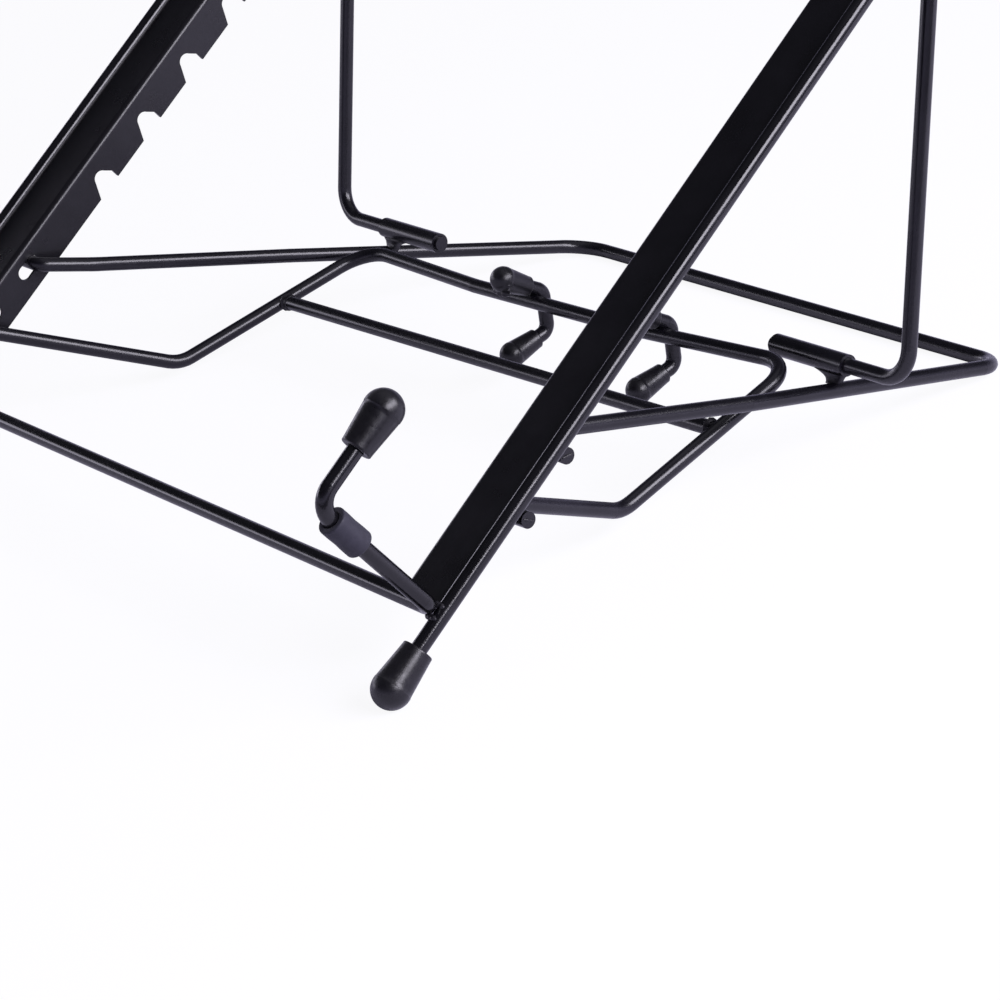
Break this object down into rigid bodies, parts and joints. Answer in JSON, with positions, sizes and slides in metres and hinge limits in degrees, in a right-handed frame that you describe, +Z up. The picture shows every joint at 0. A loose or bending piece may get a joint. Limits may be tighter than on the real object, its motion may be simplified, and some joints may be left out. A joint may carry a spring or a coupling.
{
  "type": "folding wire desk stand",
  "caption": "Folding black wire-frame desk stand: a leaning panel with notched channels, latched by a prop on a base frame, with ledge hooks and a swinging hook frame.",
  "frame": {"origin": "on the table, under the middle of the whole stand's bounding box, with the stand opened at its set lean", "axes": "+X across the stand to its right as seen from the front, +Y from the front ledge to the rear bar, +Z up"},
  "size_m": [0.3588, 0.3276, 0.2496],
  "materials": {
    "black_paint": "satin black powder coat",
    "rubber_cap": "satin moulded rubber",
    "rubber_grip": "matte grey-violet rubber"
  },
  "bodies": {
    "base": {"base_frame": "black_paint", "pivot_sleeve_left": "black_paint", "pivot_sleeve_right": "black_paint", "sleeve_gusset_left": "black_paint", "sleeve_gusset_right": "black_paint"},
    "panel": {"panel_hoop": "black_paint", "ledge_wire": "black_paint", "channel_left": "black_paint", "channel_right": "black_paint", "hook_grip_left": "rubber_grip", "hook_grip_right": "rubber_grip", "hook_cap_left": "rubber_cap", "hook_cap_right": "rubber_cap", "foot_cap_left": "rubber_cap", "foot_cap_right": "rubber_cap"},
    "prop": {"prop_frame": "black_paint"},
    "swing": {"swing_frame": "black_paint", "stretcher": "black_paint", "claw_hook_a": "black_paint", "claw_hook_b": "black_paint", "claw_cap_a_upper": "rubber_cap", "claw_cap_a_lower": "rubber_cap", "claw_cap_b_upper": "rubber_cap", "claw_cap_b_lower": "rubber_cap"}
  },
  "joints": [
    {"name": "panel_fold", "type": "hinge", "parent": "base", "child": "panel", "pos_m": [0, -0.07513, 0.05404], "axis": [1, 0, 0], "range_deg": [-42.5, 0]},
    {"name": "prop_fold", "type": "hinge", "parent": "base", "child": "prop", "pos_m": [0, 0.06594, 0.03073], "axis": [1, 0, 0], "range_deg": [-85.85, 0]},
    {"name": "swing_fold", "type": "hinge", "parent": "panel", "child": "swing", "pos_m": [0, -0.09632, 0.03755], "axis": [0.9997, 0.0192, 0.0149], "range_deg": [0, 38.25]}
  ],
  "couplings": [
    {"joint": "prop_fold", "follows": "panel_fold", "ratio": 2.02},
    {"joint": "swing_fold", "follows": "panel_fold", "ratio": -0.9}
  ]
}
